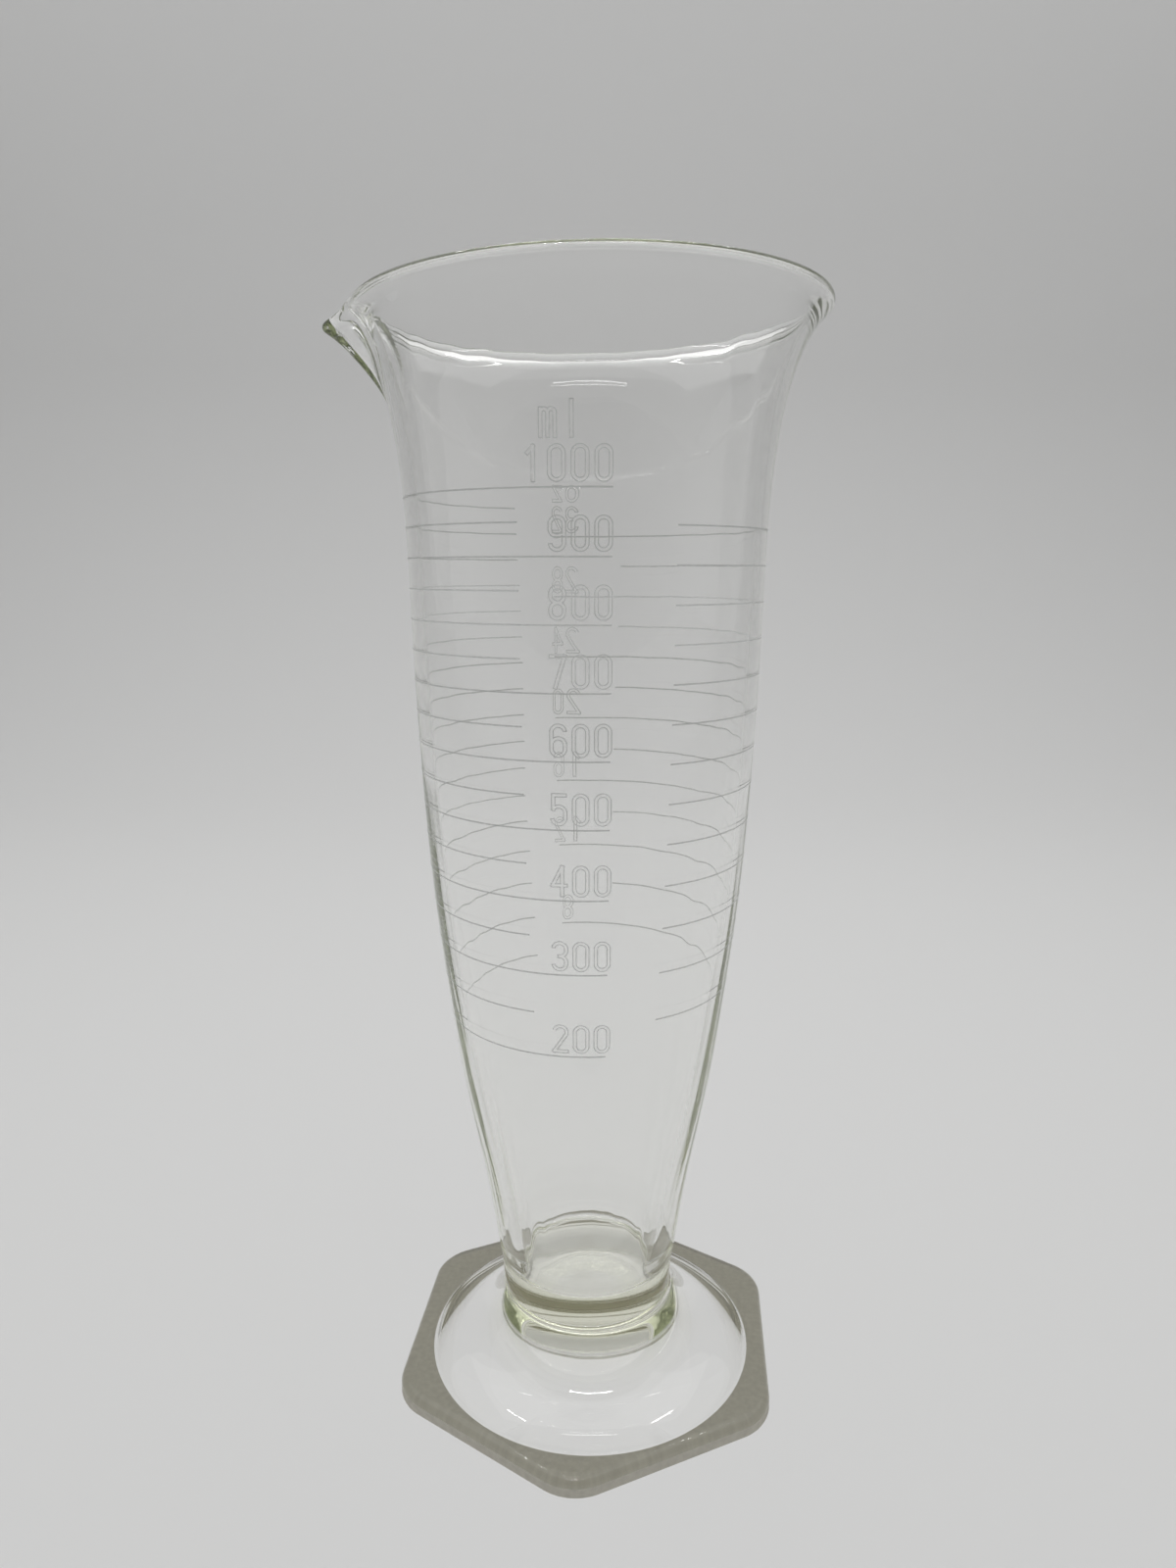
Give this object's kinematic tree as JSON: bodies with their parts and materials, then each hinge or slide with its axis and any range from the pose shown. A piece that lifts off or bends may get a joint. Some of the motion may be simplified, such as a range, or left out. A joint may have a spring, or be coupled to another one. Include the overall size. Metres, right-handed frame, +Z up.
{
  "type": "graduated cylinder",
  "caption": "Footed conical glass graduate with a flared mouth, pouring spout, hexagonal foot and frosted scales in millilitres and ounces.",
  "frame": {"origin": "on the vessel's axis, in the plane of the ground ring under the foot", "axes": "+Z up along the vessel's axis, -X towards the spout, -Y towards the scale in millilitres"},
  "size_m": [0.1316, 0.1234, 0.3038],
  "materials": {
    "clear_glass": "clear, polished, blown",
    "pressed_glass": "clear, pressed, ground underside",
    "seal_glass": "greenish-yellow fused glass",
    "frosted_marks": "white frosting"
  },
  "bodies": {
    "root": {"hex_foot": "pressed_glass", "fused_seal": "seal_glass", "glass_vessel": "clear_glass", "ml_hundred_lines": "frosted_marks", "ml_fifty_lines": "frosted_marks", "ml_figures": "frosted_marks", "ml_unit": "frosted_marks", "oz_numbered_lines": "frosted_marks", "oz_plain_lines": "frosted_marks", "oz_figures": "frosted_marks", "oz_unit": "frosted_marks"}
  },
  "joints": []
}
